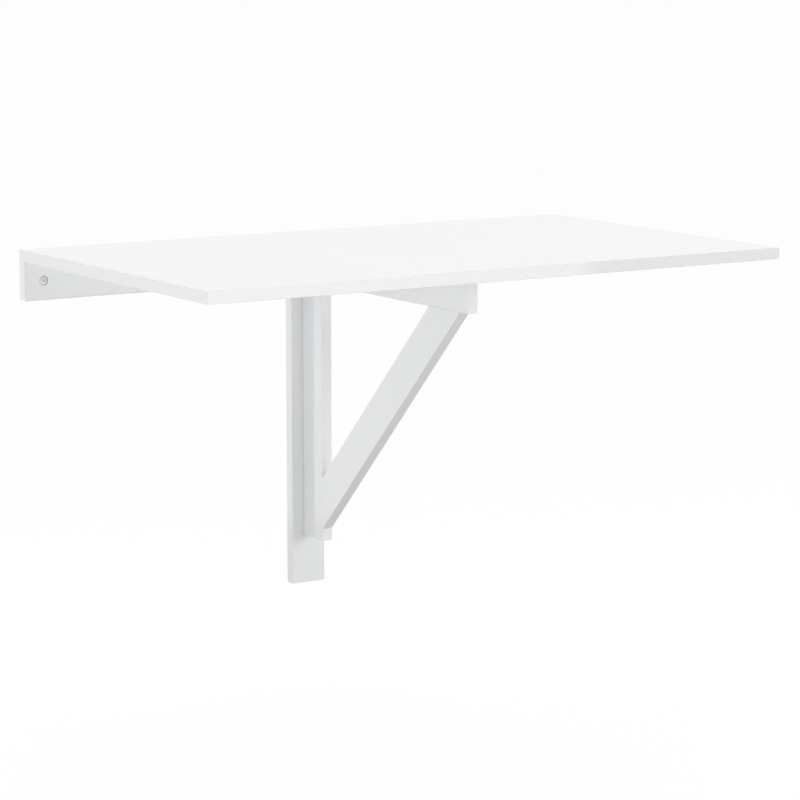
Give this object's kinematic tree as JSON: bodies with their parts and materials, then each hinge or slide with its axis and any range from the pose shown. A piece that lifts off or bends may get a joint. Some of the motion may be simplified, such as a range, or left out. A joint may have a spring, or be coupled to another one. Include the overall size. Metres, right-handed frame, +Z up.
{
  "type": "wall mounted drop leaf table",
  "caption": "White wall table: a rail and batten carry a fixed strip and a hinged leaf, propped by a triangular gate that swings flat to the wall.",
  "frame": {"origin": "middle of the wall rail's back face, on the wall", "axes": "+X along the wall to the right as seen from the room, +Y into the wall, +Z up"},
  "size_m": [1, 0.6, 0.578],
  "materials": {
    "white_board": "high gloss white foil on chipboard",
    "white_gate_board": "high gloss white foil on chipboard",
    "hinge_steel": "nickel plated steel",
    "pin_steel": "bright steel",
    "screw_steel": "zinc plated steel",
    "beech_dowel": "raw beech",
    "pad_plastic": "matte white plastic"
  },
  "bodies": {
    "wall_frame": {"fixed_top_strip": "white_board", "gate_hinge_1_fixed_plate": "hinge_steel", "gate_hinge_1_pin": "pin_steel", "gate_hinge_2_fixed_plate": "hinge_steel", "gate_hinge_2_pin": "pin_steel", "gate_hinge_3_fixed_plate": "hinge_steel", "gate_hinge_3_pin": "pin_steel", "gate_hinge_fixed_screws": "screw_steel", "leaf_hinge_1_fixed_plate": "hinge_steel", "leaf_hinge_1_pin": "pin_steel", "leaf_hinge_2_fixed_plate": "hinge_steel", "leaf_hinge_2_pin": "pin_steel", "leaf_hinge_3_fixed_plate": "hinge_steel", "leaf_hinge_3_pin": "pin_steel", "leaf_hinge_4_fixed_plate": "hinge_steel", "leaf_hinge_4_pin": "pin_steel", "leaf_hinge_fixed_screws": "screw_steel", "rail_batten_dowels": "beech_dowel", "rail_strip_dowels": "beech_dowel", "wall_batten": "white_board", "wall_rail": "white_board"},
    "gate": {"arm_brace_dowels": "beech_dowel", "gate_arm": "white_gate_board", "gate_brace": "white_gate_board", "gate_hinge_1_swing_plate": "hinge_steel", "gate_hinge_2_swing_plate": "hinge_steel", "gate_hinge_3_swing_plate": "hinge_steel", "gate_hinge_swing_screws": "screw_steel", "gate_stile": "white_gate_board", "glide_pad": "pad_plastic", "stile_arm_dowels": "beech_dowel", "stile_brace_dowels": "beech_dowel"},
    "leaf": {"leaf_hinge_1_swing_plate": "hinge_steel", "leaf_hinge_2_swing_plate": "hinge_steel", "leaf_hinge_3_swing_plate": "hinge_steel", "leaf_hinge_4_swing_plate": "hinge_steel", "leaf_hinge_swing_screws": "screw_steel", "leaf_panel": "white_board"}
  },
  "joints": [
    {"name": "gate_swing", "type": "hinge", "parent": "wall_frame", "child": "gate", "pos_m": [0.012, -0.021, 0], "axis": [0, 0, 1], "range_deg": [0, 90]},
    {"name": "leaf_hinge", "type": "hinge", "parent": "wall_frame", "child": "leaf", "pos_m": [0, -0.06, 0.03], "axis": [-1, 0, 0], "range_deg": [0, 1]}
  ]
}
